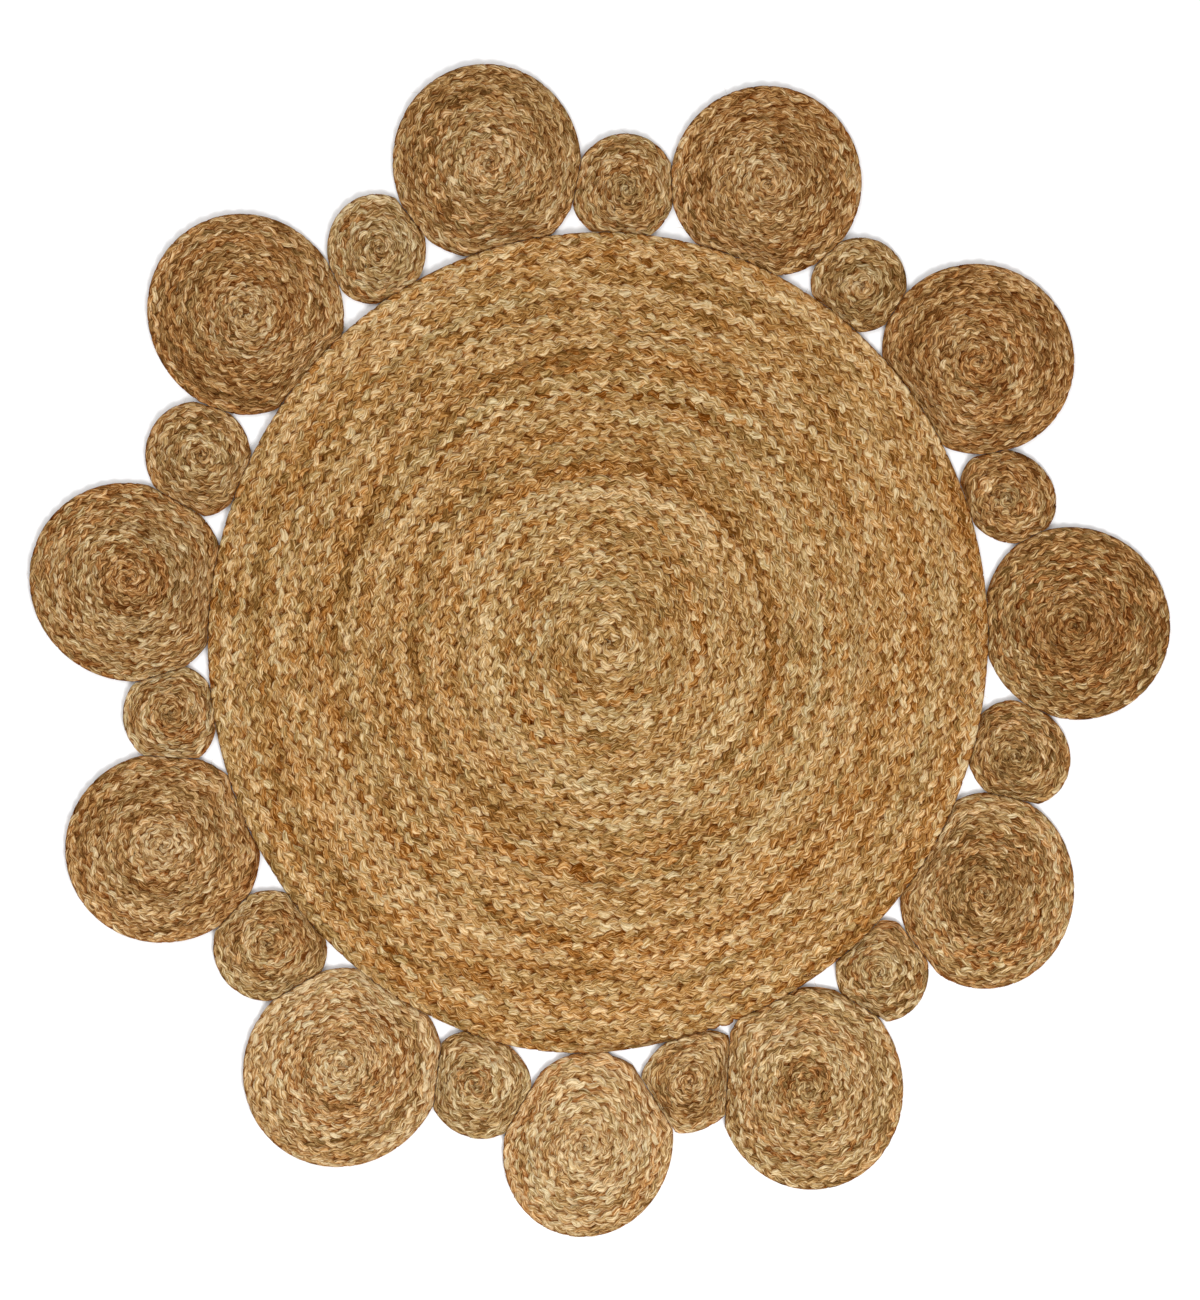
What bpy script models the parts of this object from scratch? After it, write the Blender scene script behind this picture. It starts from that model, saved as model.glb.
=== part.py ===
"""Round jute rug: a large disc of coiled plait inside a ring of coiled rosettes, large and small in turn.

Every piece is one long three-strand plait, wound flat from its middle outwards and sewn round against
round. The rosettes are pressed against the disc and against each other where they are sewn together.
Metres, +Z up. The underside is flat on z = 0 and the origin is at the middle of the rug's box.
"""

import math
from collections import namedtuple

import bmesh
import bpy
from mathutils import Vector, geometry

MM = 0.001
GAP = 0.34  # mm left between pieces that are sewn together
CREASE_DEPTH = 0.32  # of the plait's height, from its crest down to the crease beside it
RIM_HEIGHT = 0.45  # of the plait's height, where the outermost round is widest
DISC_TAIL = 0.1  # of the disc's last turn, over which its plait narrows to nothing
ROSETTE_TAIL = 0.2  # the same on a rosette, whose last turn is short
SQUEEZE = 3  # power of the radius by which a pressed rim is passed on to the rounds inside it
FOOT_SPREAD = math.radians(38)  # half-width of a rosette's widened foot, seen from its middle
CHORD_ERROR = {"disc": 0.8, "large": 1.5, "small": 1.5}  # mm from a round's true curve to its steps
RIM_STEP = {"disc": 24.0, "large": 23.0, "small": 17.0}  # mm between points along the rims
DISC_CONTACT_STEP = 17.0  # the most where a rosette's rim follows the disc's
FEWEST_STEPS = 6  # in one turn, near the middle
NEAREST = 0.005  # of a turn, between two points on one line
HALVINGS = 40  # steps that close in on a place where one thing takes over from another
SHARP = math.radians(50)
FREE, DISC_LIMIT = -1, 0  # what presses on a rosette's rim: nothing, the disc, or else a neighbour

# One row for each coil, as it lies: x and y are the middle of its outline and radius its mean radius, in
# mm. Along the line that lies at `lie` degrees it reaches `oval` mm further, and across it as much less.
# foot is how many mm its rim is drawn out towards the disc, where it is sewn on.
Row = namedtuple("Row", "name x y radius oval lie foot tone")
DISC = Row("disc", 1, 9, 416, 10, 87, 0, "honey")
RING = [
    Row("rosette_large_01", -115, 506, 101, 3, 105, 0, "tan"),
    Row("rosette_small_01", 27, 479, 56, 2, 85, 3, "tan"),
    Row("rosette_large_02", 175, 485, 100, 1, 100, 0, "brown"),
    Row("rosette_small_02", 271, 377, 50, 1, 65, 1, "tan"),
    Row("rosette_large_03", 394, 300, 100, 1, 140, 2, "brown"),
    Row("rosette_small_03", 424, 157, 50, 3, 145, 1, "brown"),
    Row("rosette_large_04", 493, 25, 100, 1, 130, 0, "brown"),
    Row("rosette_small_04", 433, -110, 55, 3, 140, 0, "tan"),
    Row("rosette_large_05", 400, -252, 97, 5, 85, 0, "tan"),
    Row("rosette_small_05", 291, -335, 51, 2, 95, 5, "honey"),
    Row("rosette_large_06", 216, -455, 102, 5, 100, 3, "honey"),
    Row("rosette_small_06", 94, -448, 55, 5, 40, 2, "honey"),
    Row("rosette_large_07", -15, -516, 91, 4, 70, 10, "straw"),
    Row("rosette_small_07", -129, -450, 56, 3, 120, 2, "honey"),
    Row("rosette_large_08", -269, -432, 104, 3, 50, 2, "straw"),
    Row("rosette_small_08", -344, -305, 59, 1, 35, 2, "honey"),
    Row("rosette_large_09", -454, -203, 101, 2, 20, 2, "brown"),
    Row("rosette_small_09", -445, -65, 52, 1, 75, 0, "tan"),
    Row("rosette_large_10", -488, 73, 104, 2, 150, 0, "brown"),
    Row("rosette_small_10", -415, 201, 58, 2, 120, 0, "tan"),
    Row("rosette_large_11", -366, 350, 104, 3, 130, 0, "brown"),
    Row("rosette_small_11", -230, 417, 55, 3, 95, 2, "tan"),
]
DISC_PLAIT = (12.8, 8.0)  # width and height of the plait, mm
RING_PLAIT = (10.3, 7.0)
DISC_SEAM = math.radians(290)  # where the disc's plait ends on its rim
DISC_DRIFT = (10, -3)  # mm from the middle of the disc's outline to the middle of its coil

TONES = {"honey": (172, 132, 83), "tan": (160, 122, 77), "brown": (149, 110, 67), "straw": (185, 147, 99)}
JUTE_ROUGHNESS = 0.9


def wrapped(angle):
    """The same angle between -pi and pi."""
    return math.remainder(angle, math.tau)


class Coil:
    """One coiled plait. Its shape is worked out from its middle, in mm, by angle and turn."""

    def __init__(self, row, plait, seam, tail, drift=(0.0, 0.0)):
        self.name, self.tone, self.row, self.tail = row.name, row.tone, row, tail
        self.size = "disc" if row is DISC else row.name.split("_")[1]
        self.middle = Vector((row.x + drift[0], row.y + drift[1]))
        self.drift = Vector(drift)
        self.seam = seam
        self.turns = round(row.radius / plait[0] + 0.5)
        self.pitch = row.radius / (self.turns - 0.5)
        self.height = plait[1]
        self.limits = []

    def shape(self, angle):
        """How far the coil reaches at this angle, as a share of its mean radius."""
        row = self.row
        reach = row.oval * math.cos(2 * (angle - math.radians(row.lie)))
        reach += row.foot * math.exp(-((wrapped(angle - self.seam) / FOOT_SPREAD) ** 2))
        reach -= self.drift.dot((math.cos(angle), math.sin(angle)))
        return 1 + reach / row.radius

    def angle_at(self, turn):
        return self.seam + math.tau * (turn - self.turns)

    def outer_edge(self, turn):
        """The plait's outer edge in mm before the oval, counted in turns from the middle."""
        left = min(1.0, (self.turns - turn) / self.tail)
        return self.pitch * (turn - 1 + left * left * (3 - 2 * left))

    def free_rim(self, angle):
        """The rim's distance from the middle before anything presses on it."""
        turn = self.turns - 1 + ((angle - self.seam) % math.tau) / math.tau
        return self.outer_edge(turn) * self.shape(angle)

    def rim_and_limit(self, angle):
        """The rim's distance from the middle, and which neighbour presses on it there, if any."""
        reach, pressing = self.free_rim(angle), FREE
        for index, limit in enumerate(self.limits):
            pressed = limit(angle, reach)
            if pressed < reach:
                reach, pressing = pressed, index
        return reach, pressing

    def place(self, turn, share):
        """The point this far along the plait, a share of the way from its inner to its outer edge."""
        angle = self.angle_at(turn)
        inner = self.pitch * max(0.0, turn - 1)
        before = (inner + (self.outer_edge(turn) - inner) * share) * self.shape(angle)
        free = self.free_rim(angle)
        pressed = self.rim_and_limit(angle)[0] - free
        return self.at(angle, before + pressed * min(1.0, before / free) ** SQUEEZE)

    def at(self, angle, distance):
        return self.middle + distance * Vector((math.cos(angle), math.sin(angle)))

    def rim(self, angle):
        return self.at(angle, self.rim_and_limit(angle)[0])


def pressed_by_disc(coil, disc):
    """A limit on the rosette's rim: it stops short of the disc's own rim by the gap."""

    def inside(point):
        away = point - disc.middle
        return away.length < disc.free_rim(math.atan2(away.y, away.x)) + GAP

    def limit(angle, reach):
        if not inside(coil.at(angle, reach)):
            return reach
        near, far = 0.0, reach
        for _ in range(HALVINGS):
            half = (near + far) / 2
            near, far = (near, half) if inside(coil.at(angle, half)) else (half, far)
        return near

    return limit


def pressed_by_neighbour(coil, other):
    """A limit on the rosette's rim: the straight line on which two rosettes press on each other."""
    away = other.middle - coil.middle
    facing = math.atan2(away.y, away.x)
    mine, theirs = coil.free_rim(facing), other.free_rim(facing + math.pi)
    line = (away.length**2 + mine**2 - theirs**2) / (2 * away.length) - GAP / 2

    def limit(angle, reach):
        towards = math.cos(angle - facing)
        return min(reach, line / towards) if towards > 0 else reach

    return limit


def rim_angles(coil):
    """The angles of the rim's points, with one where one neighbour's pressing takes over from another's."""
    count = math.ceil(math.tau * coil.row.radius / RIM_STEP[coil.size])
    angles = {coil.seam + math.tau * n / count for n in range(count)}
    angles.add(coil.seam + math.tau * (1 - coil.tail))
    ordered = sorted(angles)
    for start, end in zip(ordered, ordered[1:] + [coil.seam + math.tau]):
        at_start = coil.rim_and_limit(start)[1]
        on_disc = at_start == DISC_LIMIT
        if on_disc and (coil.rim(start) - coil.rim(end)).length > DISC_CONTACT_STEP:
            angles.add((start + end) / 2)
        if at_start == coil.rim_and_limit(end)[1]:
            continue
        for _ in range(HALVINGS):
            half = (start + end) / 2
            start, end = (half, end) if coil.rim_and_limit(half)[1] == at_start else (start, half)
        angles.add(start)
    return sorted(angles)


def along(coil, first, last, share, angles):
    """Points along the plait from one turn to another: sparse inside, at the rim's angles near the rim."""
    near = coil.turns - 1 - share
    turns = [first]
    while turns[-1] < near - 1 / RIM_STEP[coil.size]:
        steps = max(FEWEST_STEPS, math.pi * math.sqrt(turns[-1] * coil.pitch / (2 * CHORD_ERROR[coil.size])))
        turns.append(turns[-1] + 1 / steps)
    for begun in (coil.turns - 2, coil.turns - 1):
        at_rim = [begun + (angle - coil.seam) / math.tau for angle in angles]
        turns += [turn for turn in at_rim if turns[-1] + NEAREST < turn < last - NEAREST]
    return [coil.place(turn, share) for turn in turns + [last]]


def coil_mesh(coil):
    """The coil as one closed body: its rounds stand up as a spiral ridge over a flat underside."""
    angles = rim_angles(coil)
    crest = along(coil, 0.0, coil.turns - coil.tail / 2, 0.5, angles)
    crease = along(coil, 0.5, coil.turns - 1, 1.0, angles)
    rim = [coil.rim(angle) for angle in angles]
    heights = [coil.height] * len(crest)
    heights += [coil.height * (1 - CREASE_DEPTH)] * len(crease)
    heights += [coil.height * RIM_HEIGHT] * len(rim)
    first_crease, first_rim = len(crest), len(crest) + len(crease)
    lines = [(n, n + 1) for n in range(first_crease - 1)]
    lines += [(n, n + 1) for n in range(first_crease, first_rim - 1)]
    outline = list(range(first_rim, len(heights)))
    points, _, faces, made_from, _, inside = geometry.delaunay_2d_cdt(
        crest + crease + rim, lines, [outline], 1, 1e-4, True
    )
    body = bmesh.new()
    corners = []
    for point, sources in zip(points, made_from):
        height = min((heights[n] for n in sources), default=coil.height * (1 - CREASE_DEPTH))
        place = point - coil.middle
        corners.append(body.verts.new((place.x * MM, place.y * MM, height * MM)))
    for face, outlines in zip(faces, inside):
        if outlines:
            body.faces.new([corners[n] for n in face])
    border = [edge for edge in body.edges if edge.is_boundary]
    wall = bmesh.ops.extrude_edge_only(body, edges=border)["geom"]
    for vert in (item for item in wall if isinstance(item, bmesh.types.BMVert)):
        vert.co.z = 0.0
    foot = [edge for edge in body.edges if edge.is_boundary]
    bmesh.ops.edgeloop_fill(body, edges=foot)
    bmesh.ops.recalc_face_normals(body, faces=body.faces)
    mesh = bpy.data.meshes.new(coil.name)
    body.to_mesh(mesh)
    body.free()
    mesh.shade_smooth()
    mesh.set_sharp_from_angle(angle=SHARP)
    return mesh


def linear(channel):
    """An sRGB channel of 0 to 255 as a linear one of 0 to 1."""
    channel /= 255
    return channel / 12.92 if channel <= 0.04045 else ((channel + 0.055) / 1.055) ** 2.4


def jute(tone):
    """The material of a piece of this tone: dry, matt jute."""
    material = bpy.data.materials.new("jute_" + tone)
    material.use_nodes = True
    shader = material.node_tree.nodes["Principled BSDF"]
    shader.inputs["Base Color"].default_value = (*(linear(channel) for channel in TONES[tone]), 1.0)
    shader.inputs["Roughness"].default_value = JUTE_ROUGHNESS
    shader.inputs["Metallic"].default_value = 0.0
    return material


def make_coils():
    """The disc, and the ring of rosettes pressed against it and against their neighbours."""
    disc = Coil(DISC, DISC_PLAIT, DISC_SEAM, DISC_TAIL, DISC_DRIFT)
    ring = []
    for row in RING:
        inwards = disc.middle - Vector((row.x, row.y))
        ring.append(Coil(row, RING_PLAIT, math.atan2(inwards.y, inwards.x), ROSETTE_TAIL))
    for place, coil in enumerate(ring):
        neighbours = (ring[place - 1], ring[(place + 1) % len(ring)])
        coil.limits = [pressed_by_disc(coil, disc)]
        coil.limits += [pressed_by_neighbour(coil, other) for other in neighbours]
    return disc, ring


for old in list(bpy.data.objects):
    bpy.data.objects.remove(old)

disc, ring = make_coils()
rims = [coil.rim(angle) for coil in ring for angle in rim_angles(coil)]
low, high = (Vector([pick(point[axis] for point in rims) for axis in (0, 1)]) for pick in (min, max))
rug = bpy.data.collections.new("round_jute_rug")
bpy.context.scene.collection.children.link(rug)
tones = {tone: jute(tone) for tone in TONES}
for coil in [disc, *ring]:
    piece = bpy.data.objects.new(coil.name, coil_mesh(coil))
    place = (coil.middle - (low + high) / 2) * MM
    piece.location = (place.x, place.y, 0.0)
    piece.data.materials.append(tones[coil.tone])
    rug.objects.link(piece)
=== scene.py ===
# %% [markdown]
# # A round jute rug
#
# The rug is a large disc inside a ring of 22 small discs, called rosettes here. Every one of them is a
# single flat plait of three jute strands, wound in a spiral from its middle and sewn round against round.
#
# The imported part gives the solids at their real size. This script dresses them: it lays the three strands
# of every plait along the same spiral, gives them the colours and the fibres of raw jute, and puts the rug
# on a pale floor under a camera that looks straight down, as the photograph does.

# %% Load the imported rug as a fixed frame
import math
from collections import namedtuple

import bmesh
import bpy
import numpy as np
from mathutils import Matrix, Vector


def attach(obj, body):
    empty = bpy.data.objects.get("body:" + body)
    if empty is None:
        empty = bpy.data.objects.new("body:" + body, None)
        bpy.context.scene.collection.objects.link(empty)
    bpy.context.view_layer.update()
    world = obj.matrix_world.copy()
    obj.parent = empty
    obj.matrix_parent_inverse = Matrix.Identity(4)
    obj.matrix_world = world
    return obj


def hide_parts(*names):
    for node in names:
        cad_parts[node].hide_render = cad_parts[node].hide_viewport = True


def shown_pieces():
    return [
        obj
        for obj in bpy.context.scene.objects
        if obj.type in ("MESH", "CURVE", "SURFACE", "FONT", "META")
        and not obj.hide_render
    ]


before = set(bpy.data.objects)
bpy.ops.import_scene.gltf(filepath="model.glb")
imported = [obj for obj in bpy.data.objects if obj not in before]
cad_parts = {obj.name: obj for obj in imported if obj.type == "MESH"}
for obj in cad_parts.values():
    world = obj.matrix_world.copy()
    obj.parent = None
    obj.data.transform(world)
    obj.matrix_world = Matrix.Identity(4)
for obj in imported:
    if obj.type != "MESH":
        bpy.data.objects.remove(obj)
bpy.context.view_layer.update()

# %% [markdown]
# ## Where every coil lies
#
# A maker lays the rosettes round the disc by hand, so no two have quite the same size or outline. The table
# says where the middle of each outline is, its mean radius, how oval it is and in which direction, and how
# far its rim is drawn towards the disc. These are the sizes that the solids were made from, so the strands
# land exactly where the solids are.
#
# The words at the end are the colours of the jute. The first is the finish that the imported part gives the
# coil. The other three are what the eye sees in its middle rounds, in its body and at its rim.

# %% The table of coils, in mm and degrees
MM = 0.001
Row = namedtuple("Row", "name x y radius oval lie foot tone middle body rim")
DISC = Row("disc", 1, 9, 416, 10, 87, 0, "honey", "honey", "honey", "honey")
RING = [
    Row("rosette_large_01", -115, 506, 101, 3, 105, 0, "tan", "tan", "hay", "tan"),
    Row("rosette_small_01", 27, 479, 56, 2, 85, 3, "tan", "olive", "umber", "olive"),
    Row("rosette_large_02", 175, 485, 100, 1, 100, 0, "brown", "brown", "tan", "russet"),
    Row("rosette_small_02", 271, 377, 50, 1, 65, 1, "tan", "hay", "hay", "olive"),
    Row("rosette_large_03", 394, 300, 100, 1, 140, 2, "brown", "tan", "umber", "umber"),
    Row("rosette_small_03", 424, 157, 50, 3, 145, 1, "brown", "hay", "umber", "umber"),
    Row("rosette_large_04", 493, 25, 100, 1, 130, 0, "brown", "olive", "brown", "olive"),
    Row("rosette_small_04", 433, -110, 55, 3, 140, 0, "tan", "olive", "olive", "olive"),
    Row("rosette_large_05", 400, -252, 97, 5, 85, 0, "tan", "hay", "tan", "hay"),
    Row("rosette_small_05", 291, -335, 51, 2, 95, 5, "honey", "olive", "hay", "hay"),
    Row("rosette_large_06", 216, -455, 102, 5, 100, 3, "honey", "hay", "hay", "hay"),
    Row("rosette_small_06", 94, -448, 55, 5, 40, 2, "honey", "tan", "olive", "hay"),
    Row("rosette_large_07", -15, -516, 91, 4, 70, 10, "straw", "straw", "straw", "straw"),
    Row("rosette_small_07", -129, -450, 56, 3, 120, 2, "honey", "hay", "hay", "hay"),
    Row("rosette_large_08", -269, -432, 104, 3, 50, 2, "straw", "honey", "honey", "straw"),
    Row("rosette_small_08", -344, -305, 59, 1, 35, 2, "honey", "olive", "tan", "hay"),
    Row("rosette_large_09", -454, -203, 101, 2, 20, 2, "brown", "straw", "tan", "russet"),
    Row("rosette_small_09", -445, -65, 52, 1, 75, 0, "tan", "olive", "tan", "hay"),
    Row("rosette_large_10", -488, 73, 104, 2, 150, 0, "brown", "russet", "tan", "tan"),
    Row("rosette_small_10", -415, 201, 58, 2, 120, 0, "tan", "tan", "hay", "honey"),
    Row("rosette_large_11", -366, 350, 104, 3, 130, 0, "brown", "honey", "honey", "tan"),
    Row("rosette_small_11", -230, 417, 55, 3, 95, 2, "tan", "olive", "hay", "hay"),
]
print("coils:", 1 + len(RING))

# %% [markdown]
# ## The spiral
#
# A coil could be drawn as a curve with a bevel, but a bevel can't narrow the plait at its end or flatten
# the rounds where two rosettes are pressed together. So the coil is a small function of two numbers: how
# many turns along the plait a point is, and how far across the plait, from 0 at its inner edge to 1 at its
# outer edge. Everything that is laid on the rug goes through it, so everything follows the same rounds.

# %% The coil: from turns along the plait to a place on the floor
SQUEEZE = 3  # power of the radius by which a pressed rim is passed on to the rounds inside it
FOOT_SPREAD = math.radians(38)  # half-width of a rosette's widened foot, seen from its middle
RIM_POINTS = 2880  # angles at which a rim is worked out, and between which it is read off


def wrapped(angle):
    """The same angle between -pi and pi."""
    return (angle + math.pi) % math.tau - math.pi


def read_off(knots, place):
    """A smooth line through random heights, one for each whole number, read off at these places."""
    low = np.clip(place.astype(int), 0, len(knots) - 2)
    part = np.clip(place - low, 0.0, 1.0)
    part = part * part * (3 - 2 * part)
    return knots[low] * (1 - part) + knots[low + 1] * part


class Coil:
    """One coiled plait, in mm about its own middle. Angles, turns and shares may be arrays."""

    def __init__(self, row, width, height, seam, tail, drift=(0.0, 0.0)):
        self.row = row
        self.name = row.name
        self.height = height
        self.seam = seam
        self.tail = tail
        self.drift = np.array(drift)
        self.middle = np.array((row.x, row.y)) + self.drift
        self.turns = round(row.radius / width + 0.5)
        self.pitch = row.radius / (self.turns - 0.5)
        self.angles = np.linspace(0.0, math.tau, RIM_POINTS + 1)
        self.reach = self.free_rim(self.angles)
        self.total = float(self.length(self.turns))
        self.uneven = {}

    def shape(self, angle):
        """How far the coil reaches at this angle, as a share of its mean radius."""
        row = self.row
        reach = row.oval * np.cos(2 * (angle - math.radians(row.lie)))
        reach = reach + row.foot * np.exp(-((wrapped(angle - self.seam) / FOOT_SPREAD) ** 2))
        reach = reach - self.drift[0] * np.cos(angle) - self.drift[1] * np.sin(angle)
        return 1 + reach / row.radius

    def outer_edge(self, turn):
        """The plait's outer edge before the oval: over the tail it runs in to the inner edge."""
        left = np.minimum(1.0, (self.turns - turn) / self.tail)
        return self.pitch * (turn - 1 + left * left * (3 - 2 * left))

    def free_rim(self, angle):
        """The rim's distance from the middle before anything presses on it."""
        turn = self.turns - 1 + ((angle - self.seam) % math.tau) / math.tau
        return self.outer_edge(turn) * self.shape(angle)

    def seam_line(self, turn):
        """How far the seam outside this turn strays from its even place. The rim itself doesn't."""
        inside = np.clip((self.turns - 1 - turn) * 4, 0.0, 1.0) * np.clip(turn * 2 - 1, 0.0, 1.0)
        return inside * self.wander("seam", np.maximum(self.length(np.maximum(turn, 0.0)), 0.0))

    def wander(self, what, along):
        """A smooth value that strays as hand work does, the same for all that lies at this length."""
        return sum(read_off(knots, along / every) for every, knots in self.uneven[what])

    def place(self, turn, share):
        """Where the point this far along and across the plait lies, as two arrays in mm on the floor."""
        angle = self.seam + math.tau * (turn - self.turns)
        inner = self.pitch * np.maximum(0.0, turn - 1) + self.seam_line(turn - 1)
        outer = self.outer_edge(turn) + self.seam_line(turn)
        before = np.maximum(0.0, inner + (outer - inner) * share) * self.shape(angle)
        free = self.free_rim(angle)
        pressed = np.interp(angle % math.tau, self.angles, self.reach) - free
        away = before + pressed * np.minimum(1.0, before / free) ** SQUEEZE
        return self.middle[0] + away * np.cos(angle), self.middle[1] + away * np.sin(angle)

    def length(self, turn):
        """Length in mm along the middle of the plait, from its start to this turn."""
        return math.pi * self.pitch * np.where(turn < 1, turn**2 / 2, turn**2 - turn + 0.5)

    def turn_at(self, length):
        """The turn at this length, the other way round."""
        rounds = length / (math.pi * self.pitch)
        later = (1 + np.sqrt(np.maximum(0.0, 4 * rounds - 1))) / 2
        return np.where(rounds < 0.5, np.sqrt(2 * np.maximum(0.0, rounds)), later)


DISC_SEAM = math.radians(290)  # where the disc's plait ends on its rim
DISC_DRIFT = (10, -3)  # mm from the middle of the disc's outline to the middle of its spiral
disc = Coil(DISC, width=12.8, height=8.0, seam=DISC_SEAM, tail=0.1, drift=DISC_DRIFT)
print("the disc has", disc.turns, "rounds, each", round(disc.pitch, 2), "mm wide")

# %% [markdown]
# ## Rims that press on each other
#
# A rosette is soft, so where it is sewn to the disc or to its neighbour both give way, and its round
# outline gets a flat or hollow side. On the disc's side its rim stops at the disc's own rim, found by
# halving the distance again and again. Between two rosettes it stops on the straight line where two soft
# circles of those sizes would meet.

# %% Press one rosette against the disc and its neighbours
GAP = 0.34  # mm left between pieces that are sewn together
HALVINGS = 30  # steps that close in on the place where a rim meets the disc
SIDEWAYS = 1e-6  # keeps the division away from zero where a rim runs straight away from its neighbour


def press(coil, disc, neighbours):
    """The coil's rim once the disc and its neighbours press on it."""
    near, far = np.zeros_like(coil.reach), coil.reach.copy()
    for step in range(HALVINGS + 1):
        half = far if step == 0 else (near + far) / 2
        x = coil.middle[0] + half * np.cos(coil.angles) - disc.middle[0]
        y = coil.middle[1] + half * np.sin(coil.angles) - disc.middle[1]
        touching = np.hypot(x, y) < disc.free_rim(np.arctan2(y, x)) + GAP
        near, far = np.where(touching, near, half), np.where(touching, half, far)
    reach = near
    for other in neighbours:
        away = other.middle - coil.middle
        apart, facing = math.hypot(*away), math.atan2(away[1], away[0])
        mine, theirs = coil.free_rim(facing), other.free_rim(facing + math.pi)
        line = (apart**2 + mine**2 - theirs**2) / (2 * apart) - GAP / 2
        towards = np.cos(coil.angles - facing)
        pressed = np.minimum(reach, line / np.maximum(towards, SIDEWAYS))
        reach = np.where(towards > 0, pressed, reach)
    return reach


ring = []
for row in RING:
    inwards = disc.middle - (row.x, row.y)
    ring.append(Coil(row, width=10.3, height=7.0, seam=math.atan2(inwards[1], inwards[0]), tail=0.2))
pressed = [press(coil, disc, (ring[n - 1], ring[(n + 1) % len(ring)])) for n, coil in enumerate(ring)]
for coil, reach in zip(ring, pressed):
    coil.reach = reach
coils = [disc, *ring]
print("plait in the disc:", round(disc.total / 1000, 1), "m, in the rosettes:",
      round(sum(coil.total for coil in ring) / 1000, 1), "m")

# %% Put the frame's origin under the middle of the rug's box
def rim_points(coil):
    """Points on the coil's rim, in mm on the floor."""
    outwards = np.stack([np.cos(coil.angles), np.sin(coil.angles)], 1)
    return coil.middle + coil.reach[:, None] * outwards


rims = np.concatenate([rim_points(coil) for coil in ring])
origin = (rims.min(0) + rims.max(0)) / 2
for coil in coils:
    coil.middle = coil.middle - origin
print("the ring of rosettes in mm:", (rims.max(0) - rims.min(0)).round(1))

# %% [markdown]
# ## Hand work strays
#
# No seam runs quite evenly and no plait keeps its pace, and the jute changes as one bale follows another.
# Each of these is a sum of smooth random waves along the plait. The long waves of colour help to set one
# round of the disc off from the next. A wave that is too long for a small rosette would only tint it all
# over, so it is left out there, and the table above gives its tint.

# %% Waves along every plait
UNEVEN_SEED = 20
LEAST_WAVES = 4  # a plait shorter than this many waves goes without that wave
# For each thing that strays, its waves as (mm along the plait between two turns of mind, size).
UNEVEN = {
    "seam": [(70, 0.7), (260, 0.8)],  # mm that a seam between two rounds strays
    "pace": [(60, 1.6), (420, 7.0)],  # mm that the plaiting runs ahead or behind
    "light": [(130, 0.04), (700, 0.06)],  # lighter or darker jute
    "warm": [(200, 0.08), (1100, 0.16)],  # warmer or cooler jute
}
for number, coil in enumerate(coils):
    rng = np.random.default_rng(UNEVEN_SEED + number)
    for what, waves in UNEVEN.items():
        coil.uneven[what] = []
        for every, size in waves:
            spread = size if coil.total > LEAST_WAVES * every else 0.0
            knots = rng.normal(0.0, spread, int(coil.total / every) + 3)
            coil.uneven[what].append((every, knots))
print("waves in each plait:", sum(len(waves) for waves in UNEVEN.values()))

# %% [markdown]
# ## The three-strand plait
#
# In a flat plait each strand swings from one edge to the other and back, a third of a plait after the one
# before. It lies on top on its way out from the middle, turns at the edge, and then slips under the strand
# that crosses it, so from above the plait is two rows of slanting lobes that meet in a V.
#
# Across the plait a sine says this well. Up and down it doesn't, because pressed jute has broad flat lobes
# with narrow creases between them. A short table gives the height of the strand's top and its width through
# half a plait, and its underside is the same table turned over, because the rug looks the same from below.

# %% The plait's own sizes
# One whole plait at the coil's start and end in mm, the strands' swing as a share of the plait's width, and
# how high a point must lie before it is out of the shade.
Plait = namedtuple("Plait", "first last swing clear")
DISC_PLAIT = Plait(34.0, 38.0, 0.345, 0.97)
RING_PLAIT = Plait(24.0, 41.0, 0.345, 1.0)
STRANDS = 3
# Over half a period: degrees, the strand's top as a share of the plait's height, and half its width as a
# share of the plait's width. It is on top from 0 to 90, turns at the edge, and slips under at 150.
LOBE = (
    (0, 0.88, 0.32),
    (30, 0.98, 0.36),
    (66, 1.0, 0.36),
    (100, 0.94, 0.35),
    (145, 0.80, 0.36),
    (180, 0.88, 0.32),
)
PHASES = (0, 30, 66, 100, 145, 180, 210, 246, 280, 325)  # degrees at which it gets a ring of points
TILT = 0.07  # how much higher a lobe's outer side lies, as a share of the height
# A strand's outline, seen along it: a broad flat crown, so that it fills its place.
OUTLINES = {
    "disc": ((1.0, 0.25), (0.68, 0.94), (0.0, 1.0), (-0.68, 0.94), (-1.0, 0.25), (-0.6, -0.9), (0.6, -0.9)),
    "rosette": ((1.0, 0.25), (0.6, 0.97), (-0.6, 0.97), (-1.0, 0.25), (-0.6, -0.9), (0.6, -0.9)),
}
print("lobes every", round(DISC_PLAIT.last / STRANDS, 1), "mm on the disc's rim")

# %% [markdown]
# ## Rolling out a strand
#
# A strand could be a curve with a bevel, but the rug has thousands of lobes, and each should be a
# little different, as it is in hand work. So the strands are rolled out straight first, like clay: small
# circles are spun along a line without turning, which leaves tubes with a ring of points at every step. An
# Array modifier repeats one plait's length of them, and then every ring is laid on its own place on the
# spiral.

# %% Short straight tubes, spun from circles
ROD_SPACING = 10.0  # between rolled-out tubes, whose radius is 1


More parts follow.
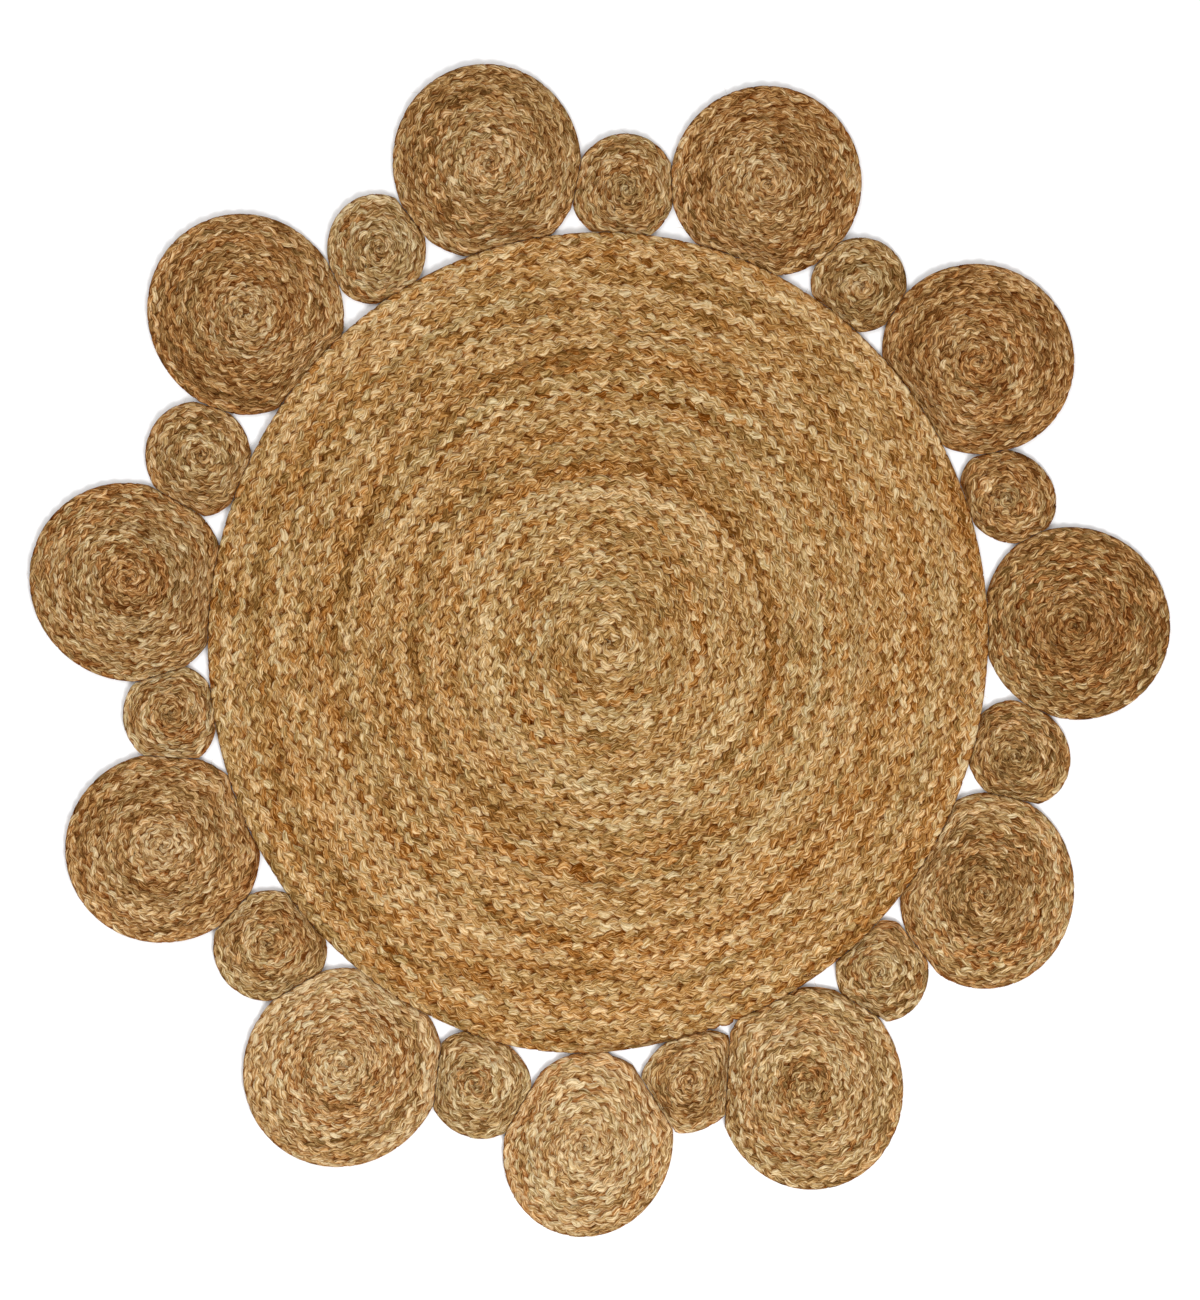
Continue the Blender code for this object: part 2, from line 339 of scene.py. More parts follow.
def short_tubes(name, steps, sides, count):
    """Open straight tubes side by side: x counts the rings of points along them, and y the tubes."""
    body = bmesh.new()
    upright = Matrix.Rotation(math.pi / 2, 4, "Y") @ Matrix.Rotation(math.pi / sides, 4, "Z")
    for number in range(count):
        place = Matrix.Translation((0.0, ROD_SPACING * number, 0.0)) @ upright
        bmesh.ops.create_circle(body, segments=sides, radius=1.0, matrix=place)
    bmesh.ops.spin(body, geom=list(body.edges), axis=(1, 0, 0), cent=(0, 0, 0), dvec=(1, 0, 0), angle=0.0,
                   steps=steps)
    mesh = bpy.data.meshes.new(name)
    body.to_mesh(mesh)
    body.free()
    return mesh


trial = short_tubes("trial", len(PHASES), len(OUTLINES["disc"]), 1)
print("points in one plait's length of a strand:", len(trial.vertices))
bpy.data.meshes.remove(trial)

# %% The same tubes as long as they need to be, with closed ends
def rolled_out(name, steps, times, sides, count):
    """Closed straight tubes: the short ones repeated this many times end to end."""
    short = short_tubes(name, steps, sides, count)
    helper = bpy.data.objects.new(name, short)
    bpy.context.scene.collection.objects.link(helper)
    repeat = helper.modifiers.new("repeat", "ARRAY")
    repeat.count = times
    repeat.use_relative_offset = False
    repeat.use_constant_offset = True
    repeat.constant_offset_displace = (steps, 0.0, 0.0)
    repeat.use_merge_vertices = True
    repeat.merge_threshold = 0.01
    graph = bpy.context.evaluated_depsgraph_get()
    mesh = bpy.data.meshes.new_from_object(helper.evaluated_get(graph))
    bpy.data.objects.remove(helper)
    bpy.data.meshes.remove(short)
    body = bmesh.new()
    body.from_mesh(mesh)
    bmesh.ops.holes_fill(body, edges=[edge for edge in body.edges if edge.is_boundary], sides=sides)
    bmesh.ops.recalc_face_normals(body, faces=body.faces)
    body.to_mesh(mesh)
    body.free()
    mesh.name = name
    return mesh


trial = rolled_out("trial", len(PHASES), 2, len(OUTLINES["disc"]), 1)
print("points in two plaits' length, closed:", len(trial.vertices))
bpy.data.meshes.remove(trial)

# %% Read, move and mark the points of a mesh
def points_of(mesh):
    """The mesh's points, as rows of x, y and z."""
    points = np.empty(len(mesh.vertices) * 3, np.float32)
    mesh.vertices.foreach_get("co", points)
    return points.reshape(-1, 3).astype(float)


def move_points(mesh, x, y, z):
    """Moves every point of the mesh to its place, given in mm."""
    mesh.vertices.foreach_set("co", (np.stack([x, y, z], 1) * MM).astype(np.float32).ravel())


def store(mesh, **fields):
    """Keeps a number or a vector for every point, for the material to read."""
    for name, values in fields.items():
        kind, key = ("FLOAT_VECTOR", "vector") if values.ndim == 2 else ("FLOAT", "value")
        mesh.attributes.new(name, kind, "POINT").data.foreach_set(key, values.astype(np.float32).ravel())


def rolled_places(mesh, outline):
    """For every point: its ring, its tube, and its place on the outline, across and up."""
    rod = points_of(mesh)
    ring_number = np.rint(rod[:, 0]).astype(int)
    tube = np.rint(rod[:, 1] / ROD_SPACING).astype(int)
    round_about = np.arctan2(rod[:, 2], rod[:, 1] - ROD_SPACING * tube)
    side = np.rint(round_about / math.tau * len(outline) - 0.5).astype(int) % len(outline)
    across, up = np.array(outline)[side].T
    return ring_number, tube, across, up


print("points round a strand: disc", len(OUTLINES["disc"]), "rosettes", len(OUTLINES["rosette"]))

# %% Where each ring of points is in its plait, and how far along the coil
PACE_STEPS = 4000  # places along a coil at which the plaits that have begun are counted


def plaits_begun(coil, plait):
    """Lengths along the coil, and how many plaits have begun there: they are shorter near its middle."""
    start = np.linspace(0.0, coil.total, PACE_STEPS)
    period = plait.first + (plait.last - plait.first) * coil.turn_at(start) / coil.turns
    return start, np.concatenate([[0.0], np.cumsum(np.diff(start) / period[1:])])


def strand_phase(coil, plait, ring_number, strand):
    """For every point: its phase in the plait, its degrees within half a plait, and its length along it."""
    degrees = np.array(PHASES, float)[ring_number % len(PHASES)]
    phase = math.tau * (ring_number // len(PHASES)) + np.radians(degrees)
    start, begun = plaits_begun(coil, plait)
    along = np.interp(phase / math.tau - strand / STRANDS, begun, start)
    along = along + coil.wander("pace", np.clip(along, 0.0, coil.total))
    return phase, degrees % 180, along


print("whole plaits in the disc:", int(plaits_begun(disc, DISC_PLAIT)[1][-1]))

# %% [markdown]
# ## Where the plait is sewn
#
# A stitch draws the edge of each round down to the edge of the next, which leaves a shallow furrow between
# the rounds. At its two ends the plait is thin, because the maker lets the strands run out there. Both
# could be cut with a tool, but the strand's height is only a number here, so it is eased towards the middle
# of the plait where the plait is thin.

# %% Draw the plait down at its edges and its ends
SEAM_DIP = 0.26  # how much thinner the plait is at its edges
DIP_BETWEEN = (0.26, 0.56)  # shares of the width off the middle between which it gets thinner
END_LEVEL, END_FLAT = 0.42, 0.4  # at its ends: the height it shrinks to, and the share that is left
RIM_SHARE = 1.01  # how far across its round a strand may reach on the rim


def drawn_down(coil, turn, share, level):
    """How far across and how high a point lies, once the plait's edges and ends are thin."""
    ends = np.sqrt(np.clip((coil.turns - turn) / coil.tail, 0.0, 1.0) * np.clip(turn * 2, 0.0, 1.0))
    level = END_LEVEL + (level - END_LEVEL) * (END_FLAT + (1 - END_FLAT) * ends)
    dip = SEAM_DIP * np.interp(np.abs(share - 0.5), DIP_BETWEEN, (0.0, 1.0)) ** 2
    level = 0.5 + (level - 0.5) * (1 - dip)
    last = turn > coil.turns - 1
    return np.where(last, np.minimum(share, RIM_SHARE), share), level


print("the disc's seams are up to", round(SEAM_DIP * disc.height, 1), "mm thinner")

# %% [markdown]
# ## The colours of the bundles
#
# Raw jute isn't dyed. Each bundle of fibre has the colour of its stalk, from straw to a dark brown, some
# grey-green and some rusty. A strand is kept going by splicing on a new bundle whenever the last one thins,
# so along each strand the colour changes every hand's length or so, and not at the same place as in the
# strands beside it.
#
# Every point keeps two numbers for the material: how light the jute is there, and how warm.

# %% The jute's colours in a maker's words
# How light from 0 to 1, and how warm from 0, greenish, to 1, rusty.
TONES = {
    "straw": (0.69, 0.45),
    "honey": (0.56, 0.52),
    "hay": (0.55, 0.26),
    "tan": (0.51, 0.50),
    "olive": (0.48, 0.32),
    "brown": (0.44, 0.56),
    "russet": (0.44, 0.70),
    "umber": (0.38, 0.60),
}


def tone_at(coil, turn):
    """How much lighter and warmer the jute is here than the coil's finish."""
    row = coil.row
    tone, middle, body, rim = (np.array(TONES[word]) for word in (row.tone, row.middle, row.body, row.rim))
    # The middle's colour fills a sixth of the rounds and is gone half way. The rim's comes in after that.
    inwards = np.clip(1.5 - 3 * turn / coil.turns, 0.0, 1.0)
    outwards = np.clip(3 * turn / coil.turns - 1.7, 0.0, 1.0)
    between = 1 - inwards - outwards
    return np.outer(middle, inwards) + np.outer(body, between) + np.outer(rim, outwards) - tone[:, None]


print("darkest:", min(TONES, key=TONES.get), " lightest:", max(TONES, key=TONES.get))

# %% Splice a strand from bundles
BUNDLE, SHORTEST = 130.0, 20.0  # mm: every bundle has the second, and on average the first on top of it
BUNDLE_LIGHT, BUNDLE_WARM = 0.085, 0.17  # how much bundles differ
BUNDLE_COOLER = 0.03  # how much cooler most of them are, to make up for the rusty ones
RUSTY = 0.13  # share of the bundles that are rusty
RUSTY_DARKER, RUSTY_WARMER = 0.04, 0.55


def spliced(rng, coil, along, tube, count):
    """How light and warm the jute is, from its bale and from its bundle."""
    light, warm = coil.wander("light", along), coil.wander("warm", along)
    for number in range(count):
        mine = tube == number
        lengths = rng.exponential(BUNDLE, int(coil.total / 80) + 20) + SHORTEST  # more than it can need
        bundle = np.searchsorted(np.cumsum(lengths), along[mine]).clip(0, len(lengths) - 1)
        rusty = rng.random(len(lengths)) < RUSTY
        light[mine] += (rng.normal(0.0, BUNDLE_LIGHT, len(lengths)) - RUSTY_DARKER * rusty)[bundle]
        warm[mine] += (rng.normal(-BUNDLE_COOLER, BUNDLE_WARM, len(lengths)) + RUSTY_WARMER * rusty)[bundle]
    return light, warm


print("rusty bundles: one in", round(1 / RUSTY))

# %% [markdown]
# ## Laying the strands
#
# Now the tubes are laid on the spiral. Every lobe gets its own small differences: one is plumper, one lies
# higher or to one side, one was pulled early. The points of a tube also stray a little by themselves, so
# that a strand's edge looks like a bunch of fibres and not like cast plastic.
#
# The material needs to know more than the place. The straight coordinates keep the fibres running along the
# strand wherever it turns. The crest says how far a point stands out of the creases, which get a painted
# shade.

# %% Strands as meshes on the spiral
# How much lobes differ from each other, as shares of the plait's height or width, and "early" in mm.
OWN = {"plump": 0.035, "wide": 0.12, "swing": 0.03, "aside": 0.04, "tilt": 0.05, "early": 1.5,
       "light": 0.10, "warm": 0.11}
# How much single points stray: across and up as shares of the strand, and along it in mm.
ROUGH = {"across": 0.035, "up": 0.03, "along": 0.2}
FLANK = (0.62, 1.0)  # places across the outline between which the painted crease shade comes in on a strand's flanks
DEEPEST = 0.3  # share of the half height below which a point lies wholly in the shade
LOWEST, PROUD = 0.02, 0.5  # mm that a strand stays over the floor, and may stand over its height
STRAND_SHIFT = 977.0  # mm of pattern between two strands, so that no two have the same streaks


def plaited(name, coil, plait, outline, strands, seed):
    """These strands of the coil as one mesh, laid along its spiral."""
    rng = np.random.default_rng(seed)
    periods = int(plaits_begun(coil, plait)[1][-1])
    mesh = rolled_out(name, len(PHASES), periods, len(outline), len(strands))
    ring_number, tube, across, up = rolled_places(mesh, outline)
    strand = np.array(strands)[tube]
    phase, half, along = strand_phase(coil, plait, ring_number, strand)
    # A lobe ends at 150 degrees, where the strand slips under the next. The millionth settles a tie.
    lobe = np.floor((phase + math.pi / 6 - 1e-6) / math.pi).astype(int)

    def own(what):
        """A random value for every lobe, the same for all its points."""
        size = OWN[what]
        return rng.normal(0.0, size, (len(strands), lobe.max() + 1)).clip(-2 * size, 2 * size)[tube, lobe]

    flank = np.interp(np.abs(across), FLANK, (1.0, 0.0))
    across = across + rng.normal(0.0, ROUGH["across"], len(across))
    up = up + rng.normal(0.0, ROUGH["up"], len(up))
    degree, tops, halves = np.array(LOBE).T
    top = np.interp(half, degree, tops) * (1 + own("plump"))
    bottom = 1 - np.interp(180 - half, degree, tops)
    wide = np.interp(half, degree, halves) * (1 + own("wide"))
    share = 0.5 + (plait.swing + own("swing")) * np.sin(phase) + own("aside") + wide * across
    tilt = 2 * TILT * np.abs(np.sin(phase)) * np.cos(phase) + own("tilt")
    level = (top + bottom) / 2 + (top - bottom) / 2 * up + tilt * across
    along = along + own("early") + rng.normal(0.0, ROUGH["along"], len(along))
    along = np.clip(along, 0.0, coil.total - 0.01)
    turn = coil.turn_at(along)
    share, level = drawn_down(coil, turn, share, level)
    x, y = coil.place(turn, share)
    move_points(mesh, x, y, np.clip(level * coil.height, LOWEST, coil.height + PROUD))

    straight = np.stack([along + STRAND_SHIFT * strand, wide * across * coil.pitch, level * coil.height], 1)
    light, warm = spliced(rng, coil, along, tube, len(strands))
    toned_light, toned_warm = tone_at(coil, turn)
    light = light + own("light") + toned_light
    warm = warm + own("warm") + toned_warm
    # Painted shade: low points and the flanks of the outline get a low crest, which darkens their colour.
    crest = np.interp(np.abs(level - 0.5) * 2, (DEEPEST, 2 * plait.clear - 1), (0.0, 1.0))
    store(mesh, straight=straight, light=light, warm=warm, crest=np.minimum(flank, crest))
    mesh.shade_smooth()
    mesh.update()
    return mesh


print("a lobe may come up to", 2 * OWN["early"], "mm early or late")

# %% [markdown]
# ## Raw jute
#
# Jute is a bast fibre, stripped from the stalk, retted in water and dried: long, coarse and straight,
# golden to brown. It isn't polished or dyed, so the eye sees a dry matt surface with fine streaks along the
# strand, thin dark splits where a bundle opens, and hardly any gloss.
#
# A photograph of jute could be laid on as an image, but it would stretch where the strands turn. Streaks of
# noise on the strand's own straight coordinates follow every lobe, and they cost nothing.

# %% Colours and one helper for nodes
def linear(colour):
    """A hex colour such as "a87c4a" as the linear colour that a shader takes."""
    channels = [int(colour[n:n + 2], 16) / 255 for n in (0, 2, 4)]
    return (*(c / 12.92 if c <= 0.04045 else ((c + 0.055) / 1.055) ** 2.4 for c in channels), 1.0)


def add(tree, kind, inputs=None, **settings):
    """Adds a node with its settings. An input is a value, or the socket that feeds it."""
    node = tree.nodes.new(kind)
    for name, value in settings.items():
        setattr(node, name, value)
    for name, value in (inputs or {}).items():
        if isinstance(value, bpy.types.NodeSocket):
            tree.links.new(value, node.inputs[name])
        else:
            node.inputs[name].default_value = value
    return node


# The same fibre, from shaded to bleached, where it is cool and greenish and where it is warm and rusty.
COOL = ((0.0, "63451d"), (0.25, "866236"), (0.5, "ac8a54"), (0.75, "caac79"), (1.0, "e4d0a6"))
WARM = ((0.0, "663710"), (0.25, "8e5727"), (0.5, "b78145"), (0.75, "d3a46c"), (1.0, "eacc9d"))
CREASE_SHADE = "a5701f"  # painted shade: what low places between the lobes multiply the colour by
WHITE = "ffffff"
print("shades of jute:", len(COOL) + len(WARM))

# %% [markdown]
# ## Streaks, splits and creases
#
# A jute fibre is a tenth of a millimetre wide at most, and runs the length of the strand. That is too fine
# to show from above, so the streaks are drawn coarser: the finest are 1.2 mm wide, as a bunch of fibres
# is. Locks of fibre are twice as wide and change the hue as well. A split is drawn where a third noise
# passes through its middle value, which leaves thin dark lines of painted shade, as in the gap where a
# bundle opens.
#
# Light is lost between the lobes, and what does come out has met jute again and again, which makes it
# browner. A plain shadow is too grey for that, so the creases also get a painted shade: their colour is
# multiplied by a warm brown.

# %% The material of the plaits
# Streaks of each kind for every mm along the strand, across it and up. The finest are 12.5 mm long and
# 1.2 mm wide, locks 25 and 2.5, and splits 17 and 2: coarser than real fibres, which wouldn't show.
FIBRES_PER_MM = (0.08, 0.85, 0.85)
LOCKS_PER_MM = (0.04, 0.4, 0.4)
SPLITS_PER_MM = (0.06, 0.5, 0.5)
FIBRE_CONTRAST, STREAK_MEAN_LESS_LIFT = 2.4, 1.163  # of the lightness, and what is taken off for the streaks' mean of 1.2 less 0.037, a painted lift that makes all the jute lighter to make up for the shade between the lobes
LOCK_CONTRAST, LOCK_HUE = 0.8, 1.2  # how much the lightness and the hue change from lock to lock
SPLIT_WIDE, SPLIT_SHADE = 0.035, 0.35  # how near its middle value the noise splits, and how dark the painted shade in a split gets
SHADE, CLEAR = 0.05, 0.9  # crest at which a place gets the full painted crease shade, and at which it gets none
RELIEF = 0.0019  # m, the height of the bump
DRY = 0.75  # roughness of dry bast fibre, which has no gloss to speak of


def fill_ramp(ramp, stops):
    """Gives a colour ramp these stops."""
    elements = ramp.color_ramp.elements
    while len(elements) < len(stops):
        elements.new(0.5)
    for element, (place, colour) in zip(elements, stops):
        element.position = place
        element.color = linear(colour)


def jute(name, lightness, warmth, richness):
    """Raw plaited jute: matt, streaked with fibres, in the colours of its bundles."""
    material = bpy.data.materials.new(name)
    material.use_nodes = True
    tree = material.node_tree
    shader = tree.nodes["Principled BSDF"]

    def attribute(name, output="Fac"):
        """What the mesh keeps for its points under this name."""
        return add(tree, "ShaderNodeAttribute", attribute_name=name).outputs[output]

    def noise(scale, detail, distortion=0.0):
        """Streaks that run along the strand, from 0 to 1."""
        place = add(tree, "ShaderNodeMapping", {"Vector": attribute("straight", "Vector"), "Scale": scale})
        return add(tree, "ShaderNodeTexNoise", {"Vector": place.outputs[0], "Scale": 1.0, "Detail": detail,
                                                "Roughness": 0.6, "Distortion": distortion}).outputs["Fac"]

    def math_of(operation, *values):
        """One step of arithmetic on values or sockets."""
        return add(tree, "ShaderNodeMath", dict(enumerate(values)), operation=operation).outputs[0]

    # How light the jute is: its tone, its streaks, its bundle, and the painted shade in its splits.
    fibres = noise(FIBRES_PER_MM, 3.0)
    locks = noise(LOCKS_PER_MM, 2.0, 0.6)
    # Painted light: taking off less than the streaks' mean lifts all the jute a little.
    value = math_of("MULTIPLY_ADD", fibres, FIBRE_CONTRAST, lightness - STREAK_MEAN_LESS_LIFT)
    value = math_of("MULTIPLY_ADD", locks, LOCK_CONTRAST, math_of("ADD", value, -LOCK_CONTRAST / 2))
    value = math_of("ADD", value, attribute("light"))
    split = math_of("ABSOLUTE", math_of("SUBTRACT", noise(SPLITS_PER_MM, 1.0, 0.3), 0.5))
    split = add(tree, "ShaderNodeMapRange", {"Value": split, "From Max": SPLIT_WIDE, "To Min": -SPLIT_SHADE,
                                             "To Max": 0.0})
    value = math_of("ADD", value, split.outputs[0])

    # How warm it is, which mixes the cool shades with the warm ones. A Mix node for colours takes them at
    # its sockets 6 and 7, and gives the mixed one at its output 2.
    hue = math_of("MULTIPLY_ADD", locks, LOCK_HUE, math_of("ADD", attribute("warm"), warmth - LOCK_HUE / 2))
    cool = add(tree, "ShaderNodeValToRGB", {"Fac": value})
    warm = add(tree, "ShaderNodeValToRGB", {"Fac": value})
    fill_ramp(cool, COOL)
    fill_ramp(warm, WARM)
    colour = add(tree, "ShaderNodeMix", {"Factor": hue, 6: cool.outputs[0], 7: warm.outputs[0]},
                 data_type="RGBA", clamp_factor=True)
    dusty = add(tree, "ShaderNodeHueSaturation", {"Color": colour.outputs[2], "Saturation": richness})

    # Painted shade: where the crest is low, the colour is multiplied by a darker brown.
    crest = attribute("crest")
    crease = add(tree, "ShaderNodeMapRange", {"Value": crest, "From Min": SHADE, "From Max": CLEAR},
                 interpolation_type="SMOOTHSTEP")
    deep = add(tree, "ShaderNodeMix", {"Factor": crease.outputs[0], 6: linear(CREASE_SHADE), 7: linear(WHITE)},
               data_type="RGBA")
    shaded = add(tree, "ShaderNodeMix", {"Factor": 1.0, 6: dusty.outputs[0], 7: deep.outputs[2]},
                 data_type="RGBA", blend_type="MULTIPLY")
    tree.links.new(shaded.outputs[2], shader.inputs["Base Color"])
    shader.inputs["Roughness"].default_value = DRY
    shader.inputs["Specular IOR Level"].default_value = 0.0

    # Streaks and splits stand out of the surface too.
    relief = math_of("MULTIPLY_ADD", split.outputs[0], 1.0, math_of("MULTIPLY_ADD", locks, 1.0, fibres))
    bump = add(tree, "ShaderNodeBump", {"Height": relief, "Distance": RELIEF, "Strength": 1.0})
    tree.links.new(bump.outputs[0], shader.inputs["Normal"])
    return material


ROSETTES_RICH, DISC_RICH = 0.985, 1.02  # saturation: the rosettes are a little dustier
FINISHES = ("honey", "tan", "brown", "straw")
materials = {word: jute("jute_" + word, *TONES[word], ROSETTES_RICH) for word in FINISHES}
materials["disc"] = jute("jute_disc", *TONES["honey"], DISC_RICH)
print("materials:", sorted(materials))

# %% [markdown]
# ## The disc and the rosettes
#
# The disc holds 42 m of plait, so each of its strands is a piece of its own, which keeps a piece under
# 200,000 triangles. A rosette's plait is one piece. Each stands for its solid, which stays as it is for the
# physics and is hidden here.

# %% The disc's three strands and the rosettes' plaits
def piece(mesh, name, node, tone):
    """The mesh as a piece of the rug that is shown instead of this solid."""
    made = bpy.data.objects.new(name, mesh)
    bpy.context.scene.collection.objects.link(made)
    mesh.materials.append(materials["disc" if node == "disc" else tone])
    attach(made, "root")
    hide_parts(node)
    return made


DISC_SEED, RING_SEED, FIBRE_SEED = 41, 51, 91
plaits = {coil.name: [] for coil in coils}
for strand in range(STRANDS):
    name = f"disc_strand_{strand + 1}"
    mesh = plaited(name, disc, DISC_PLAIT, OUTLINES["disc"], (strand,), DISC_SEED + strand)
    plaits["disc"].append(piece(mesh, name, "disc", "honey"))
for number, coil in enumerate(ring):
    name = coil.name + "_plait"
    mesh = plaited(name, coil, RING_PLAIT, OUTLINES["rosette"], (0, 1, 2), RING_SEED + number)
    plaits[coil.name].append(piece(mesh, name, coil.name, coil.row.tone))
print("pieces of plait:", sum(len(made) for made in plaits.values()))

# %% [markdown]
# ## The pressed middle of the plaits
#
# Real strands are soft and press into each other, so no light comes through a plait. The strands here only
# touch, and would leave pinholes. So what lies between them, the pressed middle of the plait, is one thin
# sheet in every coil, 0.4 mm inside its rim. It isn't a backing: the rug has none.
#
# It is also what says how large a sheet each coil is: it lies flat, and the plaits go with it.

# %% A thin sheet inside every coil
SHEET_POINTS = 120
SHEET_INSET = 0.4  # mm inside the rim
SHEET_FROM, SHEET_TO = 0.4, 0.70  # of the coil's height
SHEET_CREST = 0.4  # it lies in the creases, so it gets part of the painted crease shade and is darker than a crown


def packed_middle(coil):
    """A flat closed sheet with the coil's outline, and its flat area in square metres."""
    body = bmesh.new()
    bmesh.ops.create_circle(body, cap_ends=True, segments=SHEET_POINTS, radius=1.0)
    angles = [math.atan2(vert.co.y, vert.co.x) % math.tau for vert in body.verts]
    for vert, angle in zip(body.verts, angles):
        away = float(np.interp(angle, coil.angles, coil.reach)) - SHEET_INSET
        vert.co = Vector((coil.middle[0] + away * math.cos(angle), coil.middle[1] + away * math.sin(angle),
                          SHEET_FROM * coil.height)) * MM
    area = sum(face.calc_area() for face in body.faces)
    raised = bmesh.ops.extrude_face_region(body, geom=list(body.faces))["geom"]
    top = [item for item in raised if isinstance(item, bmesh.types.BMVert)]
    lift = (SHEET_TO - SHEET_FROM) * coil.height * MM
    bmesh.ops.translate(body, verts=top, vec=(0, 0, lift))
    bmesh.ops.recalc_face_normals(body, faces=body.faces)
    mesh = bpy.data.meshes.new(coil.name + "_middle")
    body.to_mesh(mesh)
    body.free()
    plain = np.zeros(len(mesh.vertices))
    # The sheet's low crest gives it part of the painted crease shade.
    store(mesh, straight=points_of(mesh) / MM, light=plain, warm=plain, crest=plain + SHEET_CREST)
    return mesh, area


for coil in coils:
    mesh, area = packed_middle(coil)
    made = piece(mesh, mesh.name, coil.name, coil.row.tone)
    size = [side.max() - side.min() for side in points_of(mesh)[:, :2].T]
print("sheets:", len(coils))

# %% [markdown]
# ## Stray fibres
#
# Jute is coarse, and the ends of its fibres stand out of the plait: a fine fuzz along the rims, and a few
# pale hairs that lie over the lobes. Blender's hair could make them, but it doesn't stay a mesh. They are
# rolled out like the strands, as short three-sided tubes that taper, and then bent: each one follows the
# plait, turns away from it and rises or falls.

# %% Stray fibres over the rounds and along the rims
FIBRES = {"disc": 620, "rosette_large": 50, "rosette_small": 28}
FIBRE_STEPS = 5
FIBRE_THICK = 0.17  # mm, the radius: several times a real fibre's, so that it shows
FIBRE_TAPER = 0.8  # how much of that is gone at its tip
ON_RIM = 0.35  # share of the fibres that stand out of the rim
FIBRE_SHIFT = 31.0  # mm of pattern between two fibres


def stray_fibres(coil, count, seed):
    """Short bent fibres on this coil, as one mesh."""
    rng = np.random.default_rng(seed)
    mesh = rolled_out(coil.name + "_fibres", FIBRE_STEPS, 1, 3, count)
    rod = points_of(mesh)
    step = rod[:, 0] / FIBRE_STEPS
    fibre = np.rint(rod[:, 1] / ROD_SPACING).astype(int)
    across, up = rod[:, 1] - ROD_SPACING * fibre, rod[:, 2]

    def own(low, high):
        """A random value for every fibre, the same for all its points."""
        return rng.uniform(low, high, count)[fibre]

    on_rim = rng.random(count) < ON_RIM
    # The square root spreads those inside evenly over the area.
    turn = np.where(on_rim, rng.uniform(coil.turns - 1, coil.turns, count),
                    np.sqrt(rng.uniform(0.05, 1.0, count)) * (coil.turns - 0.1))[fibre]
    share = np.where(on_rim[fibre], own(0.75, 0.95), own(0.1, 0.9))
    x, y = coil.place(turn, share)
    heading = coil.seam + math.tau * (turn - coil.turns) + math.pi / 2
    heading = heading + own(-0.7, 0.7) + np.where(rng.random(count) < 0.5, math.pi, 0.0)[fibre]
    length, curl = own(5.0, 20.0), own(-1.0, 1.0)
    length = np.where(on_rim[fibre], length * 0.6, length)
    turned = heading + curl * step
    x = x + length * step * np.cos(turned)
    y = y + length * step * np.sin(turned)
    top = coil.height * np.where(on_rim[fibre], own(0.45, 0.8), own(0.9, 1.02))
    z = top + own(0.2, 0.9) * np.sin(math.pi * step) + np.where(on_rim[fibre], -0.3, 0.1)
    thick = FIBRE_THICK * (1 - FIBRE_TAPER * step)
    x = x - across * thick * np.sin(turned)
    y = y + across * thick * np.cos(turned)
    move_points(mesh, x, y, np.maximum(z + up * thick, 0.05))
    straight = np.stack([length * step + FIBRE_SHIFT * fibre, across, up], 1)
    store(mesh, straight=straight, light=own(-0.05, 0.22), warm=own(-0.3, 0.2), crest=np.ones(len(rod)))
    mesh.shade_smooth()
    mesh.update()
    return mesh


for number, coil in enumerate(coils):
    count = FIBRES[coil.name.rstrip("_0123456789")]
    mesh = stray_fibres(coil, count, FIBRE_SEED + number)
    made = bpy.data.objects.new(mesh.name, mesh)
    bpy.context.scene.collection.objects.link(made)
    mesh.materials.append(materials["straw"])
    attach(made, "root")
print("pieces of stray fibres:", len(coils))

# %% Count the triangles
triangles = {}
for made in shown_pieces():
    made.data.calc_loop_triangles()
    triangles[made.name] = len(made.data.loop_triangles)
print("pieces:", len(triangles), " triangles:", sum(triangles.values()),
      " the most:", max(triangles.values()))

# %% [markdown]
# ## Floor, light and camera
#
# The photograph shows the rug cut out on white, lit softly from all sides with a little more light from
# below the picture. A sheet of white paper is the floor. A bright even sky does most of the lighting, a
# large key lamp stands below the picture's lower edge so that every lobe gets a small shadow above it, and
# a fill lamp from the other side keeps those shadows open.

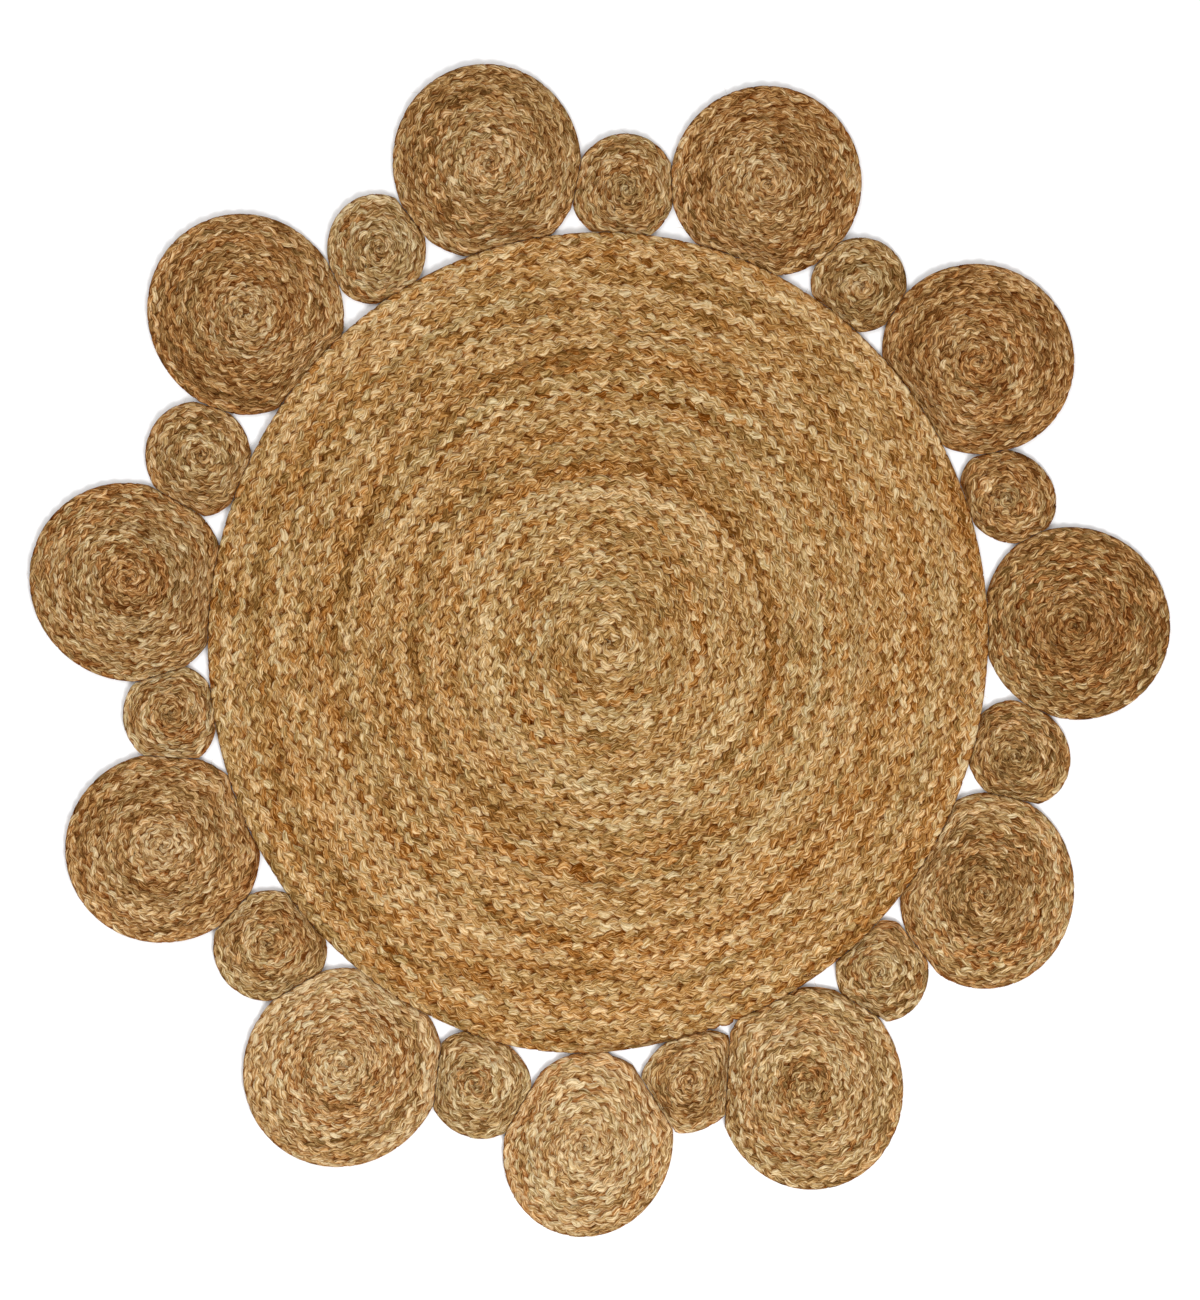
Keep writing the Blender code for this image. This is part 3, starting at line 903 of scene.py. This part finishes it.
# %% Floor
FLOOR_DROP = 0.0002  # m, so that the rug's underside and the paper aren't in one plane
paper = bpy.data.materials.new("white_paper")
paper.use_nodes = True
paper.node_tree.nodes["Principled BSDF"].inputs["Base Color"].default_value = linear("fafafa")
paper.node_tree.nodes["Principled BSDF"].inputs["Roughness"].default_value = 0.9
sheet = bmesh.new()
bmesh.ops.create_grid(sheet, x_segments=1, y_segments=1, size=20.0)
floor_mesh = bpy.data.meshes.new("floor")
sheet.to_mesh(floor_mesh)
sheet.free()
floor = bpy.data.objects.new("floor", floor_mesh)
floor_mesh.materials.append(paper)
bpy.context.scene.collection.objects.link(floor)
floor.location.z = -FLOOR_DROP
print("floor:", round(floor.dimensions.x), "m wide")

# %% Light
world = bpy.data.worlds.new("studio")
bpy.context.scene.world = world
world.use_nodes = True
world.node_tree.nodes["Background"].inputs["Color"].default_value = linear(WHITE)
world.node_tree.nodes["Background"].inputs["Strength"].default_value = 0.7
# Name, place in m, diameter in m, and power in W.
LAMPS = (("key", (0.9, -2.2, 2.7), 1.6, 95.0), ("fill", (-1.5, 1.5, 3.2), 2.4, 29.0))
for name, place, diameter, power in LAMPS:
    lamp = bpy.data.lights.new(name, "AREA")
    lamp.shape = "DISK"
    lamp.size = diameter
    lamp.energy = power
    light = bpy.data.objects.new(name, lamp)
    light.location = place
    light.rotation_euler = (-Vector(place)).to_track_quat("-Z", "Y").to_euler()
    bpy.context.scene.collection.objects.link(light)
print("lamps:", len(LAMPS))

# %% [markdown]
# ## The camera
#
# It hangs over the middle of the picture, not of the rug, which lies a little off it. The table of coils
# was laid out from the picture's middle, so that is where the camera goes. From 6 m up, the rug's
# thickness doesn't show at its rim, as it doesn't in the photograph. A pixel of the photograph is as wide
# as the size of the rug makes it, and the lens follows from that.

# %% Camera
PHOTO_HEIGHT = 1300  # pixels
MM_PER_PIXEL = 1.0405
DISTANCE = 6.0  # m
camera_data = bpy.data.cameras.new("camera")
camera_data.lens = camera_data.sensor_width * DISTANCE / (PHOTO_HEIGHT * MM_PER_PIXEL * MM)
camera_data.clip_end = 50.0
camera = bpy.data.objects.new("camera", camera_data)
camera.location = (-origin[0] * MM, -origin[1] * MM, DISTANCE)
bpy.context.scene.collection.objects.link(camera)
bpy.context.scene.camera = camera
bpy.context.scene.view_settings.view_transform = "Standard"
print("lens:", round(camera_data.lens), "mm")
